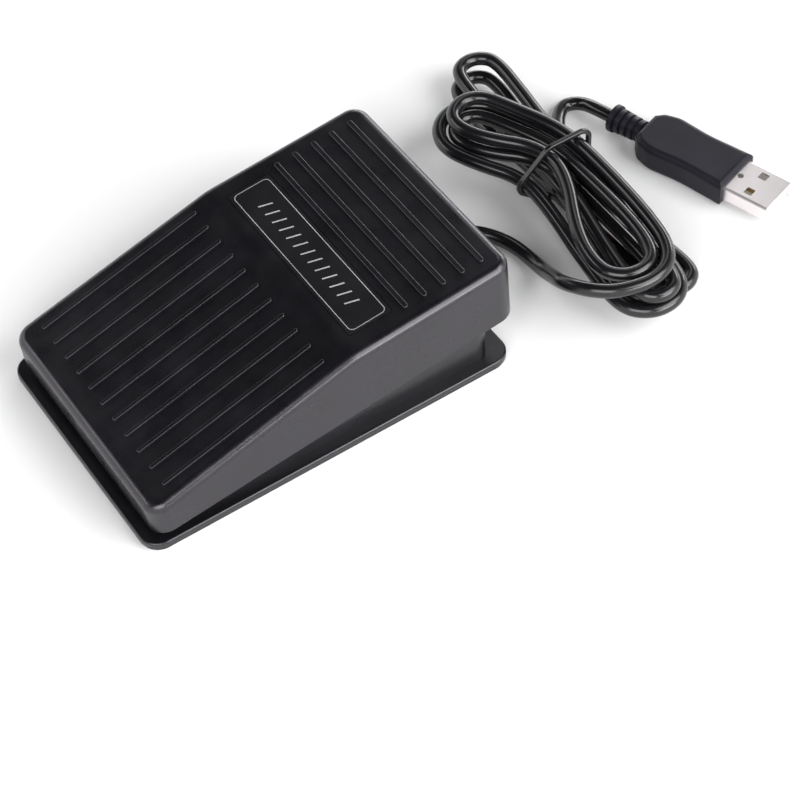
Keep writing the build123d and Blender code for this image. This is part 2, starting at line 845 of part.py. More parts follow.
# Switch case: the upper moulding, with the plunger's well and the lever's ears
with BuildPart() as switch_case:
    with BuildSketch(Plane.XY.offset(switch_z + switch_base_height)):
        with Locations((0, switch_y)):
            Rectangle(switch_width, switch_length)
    extrude(amount=switch_height - switch_base_height)
    chamfer(switch_case.edges().group_by(Axis.Z)[-1], switch_edge)
    for side in (-1, 1):
        ear_middle = side * (switch_width - lever_ear_width) / 2
        with BuildSketch(Plane(origin=(ear_middle, lever_y, lever_z), x_dir=(0, 1, 0), z_dir=(1, 0, 0))):
            Circle(lever_ear_radius)
            with Locations((0, -lever_rise)):
                Rectangle(2 * lever_ear_radius, 2 * lever_rise)
            Circle(lever_pin_radius + pin_fixed_gap, mode=Mode.SUBTRACT)
        extrude(amount=lever_ear_width / 2, both=True)
    with BuildSketch(Plane.XY.offset(switch_top)):
        with Locations((0, lever_y - plunger_arm)):
            Rectangle(plunger_width + 2 * plunger_gap, plunger_depth + 2 * plunger_gap)
    extrude(amount=-plunger_well, mode=Mode.SUBTRACT)
    with BuildSketch(switch_side.offset(-switch_width / 2)):
        with Locations(*switch_hole_spots):
            Circle(switch_hole_radius)
    extrude(amount=switch_width, mode=Mode.SUBTRACT)
save(switch_case.part, "switch_case")

# Switch base: the lower moulding that carries the terminals
with BuildPart() as switch_base:
    with BuildSketch(Plane.XY.offset(switch_z)):
        with Locations((0, switch_y)):
            Rectangle(switch_width, switch_length)
    extrude(amount=switch_base_height)
    with BuildSketch(Plane.XY.offset(switch_z)):
        with Locations((0, hinge_y + switch_front + terminal_start + terminal_pitch)):
            with GridLocations(0, terminal_pitch, 1, 3):
                Rectangle(terminal_width, terminal_thickness)
    extrude(amount=terminal_bury, mode=Mode.SUBTRACT)
    chamfer(switch_base.edges().filter_by(Axis.Z).group_by(Axis.X)[-1], switch_edge)
save(switch_base.part, "switch_base")

# Switch terminals: three flat blades
with BuildPart() as switch_terminals:
    with BuildSketch(Plane.XY.offset(switch_z - terminal_length)):
        with Locations((0, hinge_y + switch_front + terminal_start + terminal_pitch)):
            with GridLocations(0, terminal_pitch, 1, 3):
                Rectangle(terminal_width, terminal_thickness)
    extrude(amount=terminal_length + terminal_bury)
save(switch_terminals.part, "switch_terminals")

# Lever, its pin and the plunger below it
lever_plane = Plane(
    origin=(0, lever_y, lever_z),
    x_dir=(0, -math.cos(lever_angle), math.sin(lever_angle)),
    z_dir=(1, 0, 0),
)
lever_barrel_width = min(lever_width, switch_width - 2 * lever_ear_width - 2 * lever_side_gap)
with BuildPart() as switch_lever:
    with BuildSketch(lever_plane):
        Circle(lever_barrel)
        Circle(lever_pin_radius + lever_pin_gap, mode=Mode.SUBTRACT)
        with Locations((lever_pin_radius + lever_pin_gap + lever_thickness / 2, 0)):
            Rectangle(
                lever_length - lever_pin_radius - lever_pin_gap - lever_thickness / 2,
                lever_thickness,
                align=(Align.MIN, Align.CENTER),
            )
    extrude(amount=lever_barrel_width / 2, both=True)
save(switch_lever.part, "switch_lever")

with BuildPart() as lever_pin:
    with BuildSketch(Plane(origin=(0, lever_y, lever_z), x_dir=(0, 1, 0), z_dir=(1, 0, 0))):
        Circle(lever_pin_radius)
    extrude(amount=switch_width / 2, both=True)
save(lever_pin.part, "lever_pin")

near_arm = plunger_arm - plunger_depth / 2
lever_under = lever_z + near_arm * math.tan(lever_angle) - lever_thickness / 2 / math.cos(lever_angle)
plunger_top = lever_under - lever_gap
with BuildPart() as switch_plunger:
    with BuildSketch(Plane.XY.offset(plunger_top)):
        with Locations((0, lever_y - plunger_arm)):
            Rectangle(plunger_width, plunger_depth)
    extrude(amount=-plunger_length)
    fillet(switch_plunger.edges().group_by(Axis.Z)[-1].filter_by(Axis.X), plunger_edge)
save(switch_plunger.part, "switch_plunger")


def screws(planes, length):
    """Pan-head screws with a straight slot, heads on the given planes, shanks below them."""
    with BuildPart() as group:
        for plane in planes:
            with BuildSketch(plane):
                Circle(screw_head_radius)
            extrude(amount=screw_head_height)
            with BuildSketch(plane):
                Circle(screw_radius)
            extrude(amount=-length)
            with BuildSketch(plane.offset(screw_head_height)):
                Rectangle(2 * screw_head_radius + overrun, screw_slot)
            extrude(amount=-screw_slot_depth, mode=Mode.SUBTRACT)
    return group.part


switch_screw_planes = [
    Plane(
        origin=(switch_width / 2, switch_y + along, switch_z + height),
        x_dir=(0, 1, 0),
        z_dir=(1, 0, 0),
    )
    for along, height in switch_hole_spots
]
save(screws(switch_screw_planes, switch_width + screw_bite), "switch_screws")

# Circuit board with its screw holes
with BuildPart() as circuit_board:
    with BuildSketch(Plane.XY.offset(board_z)):
        with Locations((0, board_y)):
            Rectangle(board_width, board_length)
        with Locations(*board_screw_spots):
            Circle(screw_radius + screw_hole_gap, mode=Mode.SUBTRACT)
    extrude(amount=board_thickness)
save(circuit_board.part, "circuit_board")

board_screw_planes = [Plane(origin=(x, y, board_top)) for x, y in board_screw_spots]
save(screws(board_screw_planes, board_thickness + screw_bite), "board_screws")

# Controller chip with two rows of gull-wing pins
board_front_y = board_y - board_length / 2
chip_y = board_front_y + chip_back
with BuildPart() as controller_chip:
    with BuildSketch(board_plane.offset(chip_stand)):
        with Locations((chip_x, chip_y)):
            Rectangle(chip_length, chip_width)
    extrude(amount=chip_height)
    pin_rows = chip_width + chip_pin_reach
    with BuildSketch(board_plane):
        with Locations((chip_x, chip_y)):
            with GridLocations(chip_pin_pitch, pin_rows, chip_pins, 2):
                Rectangle(chip_pin_width, chip_pin_reach)
    extrude(amount=chip_stand + chip_pin_thickness)
save(controller_chip.part, "controller_chip")

# Crystal in its oval can
with BuildPart() as crystal_can:
    with BuildSketch(board_plane):
        with Locations((crystal_x, board_front_y + crystal_back)):
            SlotOverall(crystal_length, crystal_width)
    extrude(amount=crystal_height)
    fillet(crystal_can.edges().group_by(Axis.Z)[-1], switch_edge)
save(crystal_can.part, "crystal_can")

# Small flat chips: capacitors and resistors
with BuildPart() as board_capacitors:
    with BuildSketch(board_plane):
        for index in range(capacitor_count):
            spot_x = capacitor_first_x + index * capacitor_pitch
            with Locations((spot_x, board_front_y + capacitor_back)):
                Rectangle(capacitor_size[0], capacitor_size[1])
    extrude(amount=capacitor_size[2])
save(board_capacitors.part, "board_capacitors")

with BuildPart() as board_resistors:
    with BuildSketch(board_plane):
        for index in range(resistor_count):
            spot_x = resistor_first_x + index * resistor_pitch
            with Locations((spot_x, board_front_y + resistor_back)):
                Rectangle(resistor_size[0], resistor_size[1])
    extrude(amount=resistor_size[2])
save(board_resistors.part, "board_resistors")

# Wire header on the board and the crimp housing pushed against it
header_y = board_front_y + header_back
with BuildPart() as wire_header:
    with BuildSketch(board_plane):
        with Locations((header_x, header_y)):
            Rectangle(header_width, header_depth, align=(Align.CENTER, Align.MIN))
    extrude(amount=header_height)
    chamfer(wire_header.edges().filter_by(Axis.Z), switch_edge)
save(wire_header.part, "wire_header")

housing_y = header_y + header_depth
with BuildPart() as wire_housing:
    with BuildSketch(board_plane.offset(housing_lift)):
        with Locations((header_x, housing_y)):
            Rectangle(housing_width, housing_depth, align=(Align.CENTER, Align.MIN))
    extrude(amount=housing_height)
    chamfer(wire_housing.edges().filter_by(Axis.Y), housing_edge)
save(wire_housing.part, "wire_housing")

# Cable jacket held in the base, from the inner wires to the end of the grommet
jacket_y = hinge_y + jacket_start
grommet_end_y = wall_rear_y + grommet_tail
with BuildPart() as cable_jacket:
    with BuildSketch(Plane(origin=(entry_x, jacket_y, entry_height), x_dir=(-1, 0, 0), z_dir=(0, 1, 0))):
        Circle(cord_radius)
    extrude(amount=grommet_end_y - jacket_y)
save(cable_jacket.part, "cable_jacket")

# Clamp bar over the jacket, with two screws
with BuildPart() as cable_clamp:
    with BuildSketch(Plane.XY.offset(clamp_z)):
        with Locations((entry_x, clamp_y)):
            SlotOverall(clamp_length, 2 * clamp_boss_radius)
        with Locations(*clamp_spots):
            Circle(screw_radius + screw_hole_gap, mode=Mode.SUBTRACT)
    extrude(amount=clamp_thickness)
save(cable_clamp.part, "cable_clamp")

clamp_screw_planes = [Plane(origin=(x, y, clamp_z + clamp_thickness)) for x, y in clamp_spots]
save(screws(clamp_screw_planes, clamp_thickness + screw_bite), "clamp_screws")

# Grommet: a rubber bush through the wall, with a short tapered tail outside
with BuildPart() as cable_grommet:
    with BuildSketch(entry_plane.offset(-wall_thickness - grommet_flange_thickness)):
        Circle(flange_radius)
    extrude(amount=grommet_flange_thickness)
    with BuildSketch(entry_plane.offset(-wall_thickness)):
        Circle(sleeve_radius)
    extrude(amount=wall_thickness)
    with BuildSketch(entry_plane):
        Circle(flange_radius)
    with BuildSketch(entry_plane.offset(grommet_tail)):
        Circle(cord_radius + grommet_tail_wall)
    loft()
    with BuildSketch(entry_plane.offset(-wall_thickness - grommet_flange_thickness)):
        Circle(cord_radius + grommet_gap)
    extrude(amount=wall_thickness + grommet_flange_thickness + grommet_tail, mode=Mode.SUBTRACT)
save(cable_grommet.part, "cable_grommet")

# Four wires from the jacket to the crimp housing
wire_z = board_top + housing_lift + housing_height / 2
wire_end_y = housing_y + housing_depth
for index, name in enumerate(("wire_black", "wire_green", "wire_white", "wire_red")):
    place = index - 1.5
    at_housing = header_x + place * wire_pitch
    row = 1 if abs(place) < 1 else -1
    at_jacket = (entry_x + math.copysign(wire_spread, place), entry_height + row * wire_spread)
    route = [
        (at_housing, wire_end_y, wire_z),
        (at_housing, wire_end_y + wire_run, wire_z),
        (at_jacket[0], jacket_y - wire_run, at_jacket[1]),
        (at_jacket[0], jacket_y, at_jacket[1]),
    ]
    save(tube(route, corner_radii(route), wire_radius), name)

# Two wires from the switch to the underside of the board
switch_wire_z = floor_z + switch_wire_height
switch_wire_y = board_front_y + switch_wire_board_back
for index, name in enumerate(("switch_wire_common", "switch_wire_open")):
    terminal_y = hinge_y + switch_front + terminal_start + index * terminal_pitch
    lane = switch_lane_first + (1 - index) * switch_lane_pitch
    route = [
        (terminal_width / 2, terminal_y, switch_wire_z),
        (lane, terminal_y, switch_wire_z),
        (lane, switch_wire_y, switch_wire_z),
        (lane, switch_wire_y, board_z),
    ]
    save(tube(route, switch_wire_corner, switch_wire_radius), name)


def hank_layer(turn):
    """Layer of a turn, counted from the top."""
    return min(int(turn / hank_layer_turns), hank_layers - 1)


def hank_offset(turn):
    """Offset in loops at a turn: the spiral runs in and out, one layer down each time."""
    layer = hank_layer(turn)
    along = turn - layer * hank_layer_turns
    return along if layer % 2 == 0 else hank_layer_turns - along


def hank_height(turn):
    """Height of the cord's middle: level round the ends, changing layer along one run."""
    layer_drop = 0.0
    for change in range(1, hank_layers):
        along_run = (turn - change * hank_layer_turns) / (2 * turn_step)
        layer_drop += min(max(along_run + 1 / 2, 0), 1)
    return hank_lift + cord_radius + (hank_layers - 1 - layer_drop) * hank_pitch


def hank_station(step):
    """Point and direction of the hank's tube at a step, eight of which make one loop."""
    turn = step * turn_step
    offset = hank_offset(turn)
    side = 1 if step % 8 < 4 else -1
    ends = hank_right_ends if side > 0 else hank_left_ends
    reach, half_width, fan = ends[hank_layer(turn)]
    lobe = half_width - offset * hank_pitch
    slope = 0.0
    if step % 4 == 0:
        other_ends = hank_left_ends if side > 0 else hank_right_ends
        from_reach, from_width, from_fan = other_ends[hank_layer(turn - turn_step)]
        to_reach, to_width, to_fan = ends[hank_layer(turn + turn_step)]
        waist = hank_waist_inner + (1 - offset) * hank_waist_pitch
        if side < 0:
            waist = hank_waist_inner + (hank_layer_turns - offset) * hank_waist_pitch
        if turn == hank_middle_turn:
            waist += hank_middle_shift
        drop = hank_height(turn + turn_step) - hank_height(turn - turn_step)
        slope = drop / (from_reach - from_width + to_reach - to_width)
        fan = (from_fan + to_fan) / 2
        point = Vector(0, -side * waist, 0)
        way = Vector(side, 0, slope)
    else:
        across, along, way_across, way_along = [
            (reach - half_width, -lobe, 1, 0),
            (reach - offset * hank_pitch, 0, 0, 1),
            (reach - half_width, lobe, -1, 0),
        ][step % 4 - 1]
        point = (Vector(across, along, 0) * side).rotate(Axis.Z, fan)
        way = Vector(way_across, way_along, 0) * side
    way = way.rotate(Axis.Z, fan).normalized()
    return Vector(hank_x, hank_y, hank_height(turn)) + point, way


# Hank: one unbroken tube from the right-hand end on top to the far run past the waist
turn_step = 1 / 8
hank_middle_turn = hank_layers * hank_layer_turns / 2
hank_stations = []
for step in range(round(hank_first_turn / turn_step), round(hank_last_turn / turn_step) + 1):
    hank_stations.append(hank_station(step))
with BuildPart() as cord_hank:
    with BuildLine() as hank_path:
        for (start, start_way), (end, end_way) in zip(hank_stations, hank_stations[1:]):
            middle = biarc_middle(start, start_way, end, end_way)
            first = TangentArc(start, middle, tangent=start_way)
            TangentArc(middle, end, tangent=first % 1)
    with BuildSketch(Plane(origin=hank_stations[0][0], z_dir=hank_stations[0][1])):
        Circle(cord_radius)
    sweep(path=hank_path.line)
save(cord_hank.part, "cord_hank")

# Lead: from the grommet's end to the hank
lead_start = Vector(entry_x, grommet_end_y, entry_height)
lead_end, lead_end_way = hank_stations[0]
lead_points = [lead_start, lead_start + Vector(0, straight_end, 0)]
lead_points += [Vector(*point) for point in lead_route]
lead_points += [lead_end - lead_end_way * straight_end, lead_end]
lead_radii = corner_radii(lead_points)
lead = tube(lead_points, lead_radii, cord_radius)
save(lead, "cord_lead")

# Plug: metal shell, insulating tongue, contacts, moulded body and ribbed relief
plug_way = Vector(math.cos(math.radians(plug_turn)), math.sin(math.radians(plug_turn)), 0)
plug_origin = Vector(plug_tip[0], plug_tip[1], plug_height)
shell_base = plug_origin - plug_way * shell_length
relief_start = shell_base - plug_way * (body_length + relief_length)


def plug_section(back):
    """Plane across the plug, some way behind its tip, with local Y up."""
    return Plane(
        origin=plug_origin - plug_way * back,
        x_dir=Vector(0, 0, 1).cross(plug_way),
        z_dir=plug_way,
    )


plug_flat = Plane(origin=plug_origin, x_dir=plug_way, z_dir=(0, 0, 1))

with BuildPart() as plug_shell:
    with BuildSketch(plug_section(shell_length + shell_bury)):
        RectangleRounded(shell_width, shell_thickness, shell_corner)
        RectangleRounded(
            shell_width - 2 * shell_wall,
            shell_thickness - 2 * shell_wall,
            shell_corner - shell_wall,
            mode=Mode.SUBTRACT,
        )
    extrude(amount=shell_length + shell_bury)
    with BuildSketch(plug_flat):
        with Locations((-window_back - window_size / 2, 0)):
            with GridLocations(0, window_pitch, 1, 2):
                Rectangle(window_size, window_size)
        with Locations((-shell_length + window_size / 2, 0)):
            Circle(dimple_radius)
    extrude(amount=shell_thickness, both=True, mode=Mode.SUBTRACT)
save(plug_shell.part, "plug_shell")

tongue_width = shell_width - 2 * shell_wall - 2 * tongue_gap
tongue_low = -shell_thickness / 2 + shell_wall + tongue_gap
with BuildPart() as plug_tongue:
    with BuildSketch(plug_section(shell_length + shell_bury)):
        with Locations((0, tongue_low)):
            Rectangle(tongue_width, tongue_thickness, align=(Align.CENTER, Align.MIN))
    extrude(amount=shell_length + shell_bury - tongue_recess)
save(plug_tongue.part, "plug_tongue")

with BuildPart() as plug_contacts:
    with BuildSketch(plug_section(tongue_recess + contact_length)):
        with Locations((0, tongue_low + tongue_thickness + contact_thickness / 2)):
            with GridLocations(contact_pitch, 0, 4, 1):
                Rectangle(contact_width, contact_thickness)
    extrude(amount=contact_length - tongue_recess)
save(plug_contacts.part, "plug_contacts")

# Moulded plug body: a flat block with a slight waist and round shoulders
body_outline = [
    (0, body_width_front),
    (body_waist_share, body_width_waist),
    (body_shoulder_share, body_width_shoulder),
    (body_heel_share, body_width_heel),
    (1, body_width_back),
]
body_bends = [body_waist_bend, body_shoulder_bend, body_heel_bend]
side_points = [(-shell_length - body_length * share, width / 2) for share, width in body_outline]
with BuildPart() as plug_body:
    with BuildSketch(plug_flat.offset(-body_thickness / 2)):
        with BuildLine():
            FilletPolyline(*side_points, radius=body_bends)
            FilletPolyline(*[(x, -y) for x, y in side_points], radius=body_bends)
            Line(side_points[0], (side_points[0][0], -side_points[0][1]))
            Line(side_points[-1], (side_points[-1][0], -side_points[-1][1]))
        make_face()
    extrude(amount=body_thickness)
    levels = plug_body.edges().group_by(Axis.Z)
    fillet(levels[0] + levels[-1], body_edge)
    with BuildSketch(plug_section(shell_length)):
        RectangleRounded(shell_width, shell_thickness, shell_corner)
    extrude(amount=-shell_bury, mode=Mode.SUBTRACT)
save(plug_body.part, "plug_body")

with BuildPart() as plug_relief:
    relief_back = shell_length + body_length + relief_length
    with BuildSketch(plug_section(relief_back)):
        Circle(relief_radius)
    extrude(amount=relief_length)
    ring_pitch = relief_ring_length + relief_ring_gap
    for ring, ring_radius in enumerate(relief_ring_radii):
        with BuildSketch(plug_section(relief_back - ring * ring_pitch)):
            Circle(ring_radius)
        extrude(amount=relief_ring_length)
    with BuildSketch(plug_section(relief_back)):
        Circle(cord_radius + grommet_gap)
    extrude(amount=relief_bore_depth, mode=Mode.SUBTRACT)
save(plug_relief.part, "plug_relief")

# Tail: from the hank to the bottom of the relief's bore
tail_start, tail_way = hank_stations[-1]
tail_points = [tail_start, tail_start + tail_way * straight_end]
tail_points += [Vector(*point) for point in tail_route]
tail_points += [relief_start - plug_way * straight_end, relief_start + plug_way * relief_bore_depth]
tail_radii = corner_radii(tail_points)
tail = tube(tail_points, tail_radii, cord_radius)
save(tail, "cord_tail")

# Wire tie round the waist of the hank, drawn tight over its outer strands
tie_gap = hank_lift - 2 * tie_radius
tie_plane = Plane(origin=(hank_x, hank_y, 0), x_dir=(0, 1, 0), z_dir=(1, 0, 0))
far_strand = hank_waist_inner + hank_waist_pitch
low_strand = hank_lift + cord_radius
high_strand = low_strand + (hank_layers - 1) * hank_pitch
waist_strands = [
    (-hank_waist_inner, low_strand),
    (far_strand, low_strand),
    (far_strand, high_strand),
    (-hank_waist_inner, high_strand),
    (-far_strand - hank_middle_shift, (low_strand + high_strand) / 2),
]
with BuildPart() as cord_tie:
    with BuildSketch(tie_plane):
        with Locations(*waist_strands):
            Circle(cord_radius + tie_gap + 2 * tie_radius)
        make_hull()
    extrude(amount=tie_radius, both=True)
    with BuildSketch(tie_plane):
        with Locations(*waist_strands):
            Circle(cord_radius + tie_gap)
        make_hull()
    extrude(amount=tie_radius, both=True, mode=Mode.SUBTRACT)
    fillet(cord_tie.edges().filter_by(tie_plane), tie_edge)
save(cord_tie.part, "cord_tie")

# Least gap of the hank to itself, measured on points about one cord radius apart
hank_wire = hank_path.wire()
hank_length = hank_wire.length
point_count = math.ceil(hank_length / cord_radius)
line_points = [hank_wire @ (index / point_count) for index in range(point_count + 1)]
skip = math.ceil(4 * math.pi)
least = min(
    (one - other).length
    for index, one in enumerate(line_points)
    for other in line_points[index + skip :]
)
lead_length = lead.volume / (math.pi * cord_radius**2)
tail_length = tail.volume / (math.pi * cord_radius**2)
print(f"hank gap to itself {least - 2 * cord_radius:.2f} mm, hank length {hank_length:.0f} mm")
hank_ratio = cord_hank.part.volume / (math.pi * cord_radius**2 * hank_length)
cord_length = hank_length + lead_length + tail_length
print(f"hank volume over section times length {hank_ratio:.4f}")
print(f"lead length {lead_length:.1f}, tail length {tail_length:.1f}, cord in all {cord_length:.0f} mm")
print("lead bend radii", [round(radius, 1) for radius in lead_radii])
print("tail bend radii", [round(radius, 1) for radius in tail_radii])
print(f"hinge at y {hinge_y:.3f} z {hinge_height:.3f}; lever pin at y {lever_y:.3f} z {lever_z:.3f}")
print(f"lever ratio {lever_ratio:.4f}, plunger ratio {plunger_ratio / 1000:.6f} m per rad")
print(f"lever angle {math.degrees(lever_angle):.2f} deg, spring foot z {floor_z + spring_seat_height:.3f}")
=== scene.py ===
import math

import bpy
from mathutils import Matrix, Vector


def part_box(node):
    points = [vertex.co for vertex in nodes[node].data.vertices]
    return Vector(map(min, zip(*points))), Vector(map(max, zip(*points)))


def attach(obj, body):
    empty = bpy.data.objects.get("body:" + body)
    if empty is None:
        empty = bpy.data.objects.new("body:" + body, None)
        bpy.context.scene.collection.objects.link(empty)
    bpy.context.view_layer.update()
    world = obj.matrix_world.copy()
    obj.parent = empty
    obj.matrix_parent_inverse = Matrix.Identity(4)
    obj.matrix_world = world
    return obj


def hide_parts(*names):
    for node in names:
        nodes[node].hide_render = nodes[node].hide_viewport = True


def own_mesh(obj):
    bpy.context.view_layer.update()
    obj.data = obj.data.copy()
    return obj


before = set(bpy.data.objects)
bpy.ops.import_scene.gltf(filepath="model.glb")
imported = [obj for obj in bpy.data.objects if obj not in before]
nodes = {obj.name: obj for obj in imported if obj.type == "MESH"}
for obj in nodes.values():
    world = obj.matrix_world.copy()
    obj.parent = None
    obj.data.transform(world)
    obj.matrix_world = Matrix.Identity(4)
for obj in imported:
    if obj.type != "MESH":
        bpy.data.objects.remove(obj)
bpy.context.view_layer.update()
MM = 0.001

# Camera, fitted to the photograph
camera_right = Vector((0.5566, 0.8301, -0.0333))
camera_up = Vector((-0.6339, 0.4502, 0.6291))
camera_back = Vector((0.5372, -0.3290, 0.7767))
camera_place = Vector((0.3228, -0.1602, 0.4266))
camera_data = bpy.data.cameras.new("camera")
camera_data.lens = 104.98
camera_data.sensor_width = 36.0
camera_data.clip_start = 0.01
camera_data.clip_end = 50.0
camera = bpy.data.objects.new("camera", camera_data)
camera_turn = Matrix((camera_right, camera_up, camera_back)).transposed().to_4x4()
camera.matrix_world = Matrix.Translation(camera_place) @ camera_turn
bpy.context.scene.collection.objects.link(camera)
bpy.context.scene.camera = camera

# Materials: each is a shader with fine grain, broad variation and its own gloss
no_tint = (1, 1, 1)
no_stretch = (1, 1, 1)
coat_roughness = 0.1
noise_roughness = 0.55
value_start = 0.3
value_end = 0.7
tone_start = 0.35
tone_end = 0.65
tone_scale = 60.0
gloss_scale = 140.0
wave_scale = 45.0
stain_scale = 120.0
mask_scale = 300.0
weave_scale = 1600.0
wave_strength = 0.25
grain_strength = 0.35
line_strength = 0.3
weave_strength = 0.2
weave_depth = 0.00001


def shader(name, roughness, metallic=0.0, ior=1.5, coat=0.0, tint=no_tint):
    """New material, its node tree, its shader and the object's own coordinates."""
    material = bpy.data.materials.new(name)
    material.use_nodes = True
    tree = material.node_tree
    bsdf = tree.nodes["Principled BSDF"]
    bsdf.inputs["Roughness"].default_value = roughness
    bsdf.inputs["Metallic"].default_value = metallic
    bsdf.inputs["IOR"].default_value = ior
    bsdf.inputs["Specular Tint"].default_value = (*tint, 1)
    bsdf.inputs["Coat Weight"].default_value = coat
    bsdf.inputs["Coat Roughness"].default_value = coat_roughness
    place = tree.nodes.new("ShaderNodeTexCoord")
    return material, tree, bsdf, place.outputs["Object"]


def noise(tree, place, scale, detail=4.0, stretch=None):
    """Noise value, with its pattern drawn out along an axis where a stretch is given."""
    node = tree.nodes.new("ShaderNodeTexNoise")
    node.inputs["Scale"].default_value = scale
    node.inputs["Detail"].default_value = detail
    node.inputs["Roughness"].default_value = noise_roughness
    if stretch is None:
        tree.links.new(place, node.inputs["Vector"])
    else:
        mapping = tree.nodes.new("ShaderNodeMapping")
        mapping.inputs["Scale"].default_value = stretch
        tree.links.new(place, mapping.inputs["Vector"])
        tree.links.new(mapping.outputs["Vector"], node.inputs["Vector"])
    return node.outputs["Fac"]


def spread(tree, value, low, high):
    """Number from low to high as a noise value goes through its middle range."""
    node = tree.nodes.new("ShaderNodeMapRange")
    node.inputs["From Min"].default_value = value_start
    node.inputs["From Max"].default_value = value_end
    node.inputs["To Min"].default_value = low
    node.inputs["To Max"].default_value = high
    tree.links.new(value, node.inputs["Value"])
    return node.outputs["Result"]


def set_ramp(ramp, start, one, end, other):
    """Set both ends of a colour ramp: a place and a colour each."""
    for element, position, color in zip(ramp.color_ramp.elements, (start, end), (one, other)):
        element.position = position
        element.color = (*color, 1)


def two_tone(tree, value, one, other):
    """Colour that goes from one tone to another with a noise value."""
    ramp = tree.nodes.new("ShaderNodeValToRGB")
    set_ramp(ramp, tone_start, one, tone_end, other)
    tree.links.new(value, ramp.inputs["Fac"])
    return ramp.outputs["Color"]


def bump(tree, bsdf, heights):
    """Chain of bumps: each height value has its own strength and depth in metres."""
    normal = None
    for value, strength, depth in heights:
        node = tree.nodes.new("ShaderNodeBump")
        node.inputs["Strength"].default_value = strength
        node.inputs["Distance"].default_value = depth
        tree.links.new(value, node.inputs["Height"])
        if normal is not None:
            tree.links.new(normal, node.inputs["Normal"])
        normal = node.outputs["Normal"]
    tree.links.new(normal, bsdf.inputs["Normal"])


def plastic(
    name,
    dark,
    light,
    rough_low,
    rough_high,
    grain=1400.0,
    grain_depth=0.00002,
    wave_depth=0.00006,
    ior=1.5,
    tint=no_tint,
):
    """Moulded plastic: spark-eroded grain, slow flow marks and uneven gloss."""
    material, tree, bsdf, place = shader(name, rough_low, ior=ior, tint=tint)
    tone = two_tone(tree, noise(tree, place, tone_scale), dark, light)
    tree.links.new(tone, bsdf.inputs["Base Color"])
    gloss = spread(tree, noise(tree, place, gloss_scale, detail=6.0), rough_low, rough_high)
    tree.links.new(gloss, bsdf.inputs["Roughness"])
    waves = noise(tree, place, wave_scale, detail=2.0)
    grains = noise(tree, place, grain, detail=3.0)
    bump(tree, bsdf, [(waves, wave_strength, wave_depth), (grains, grain_strength, grain_depth)])
    return material


def metal(
    name,
    dark,
    light,
    rough_low,
    rough_high,
    stretch=no_stretch,
    grain=900.0,
    depth=0.00001,
):
    """Bare or plated metal: brushed or drawn lines, faint stains and uneven gloss."""
    material, tree, bsdf, place = shader(name, rough_low, metallic=1.0)
    tone = two_tone(tree, noise(tree, place, stain_scale, detail=5.0), dark, light)
    tree.links.new(tone, bsdf.inputs["Base Color"])
    lines = noise(tree, place, grain, detail=3.0, stretch=stretch)
    tree.links.new(spread(tree, lines, rough_low, rough_high), bsdf.inputs["Roughness"])
    bump(tree, bsdf, [(lines, line_strength, depth)])
    return material


def laminate(name, dark, light):
    """Glass-fibre board under solder mask, with a fine woven ground."""
    material, tree, bsdf, place = shader(name, roughness=0.35, coat=0.3)
    weave = tree.nodes.new("ShaderNodeTexChecker")
    weave.inputs["Scale"].default_value = weave_scale
    tree.links.new(place, weave.inputs["Vector"])
    tone = two_tone(tree, noise(tree, place, mask_scale), dark, light)
    tree.links.new(tone, bsdf.inputs["Base Color"])
    bump(tree, bsdf, [(weave.outputs["Fac"], weave_strength, weave_depth)])
    return material


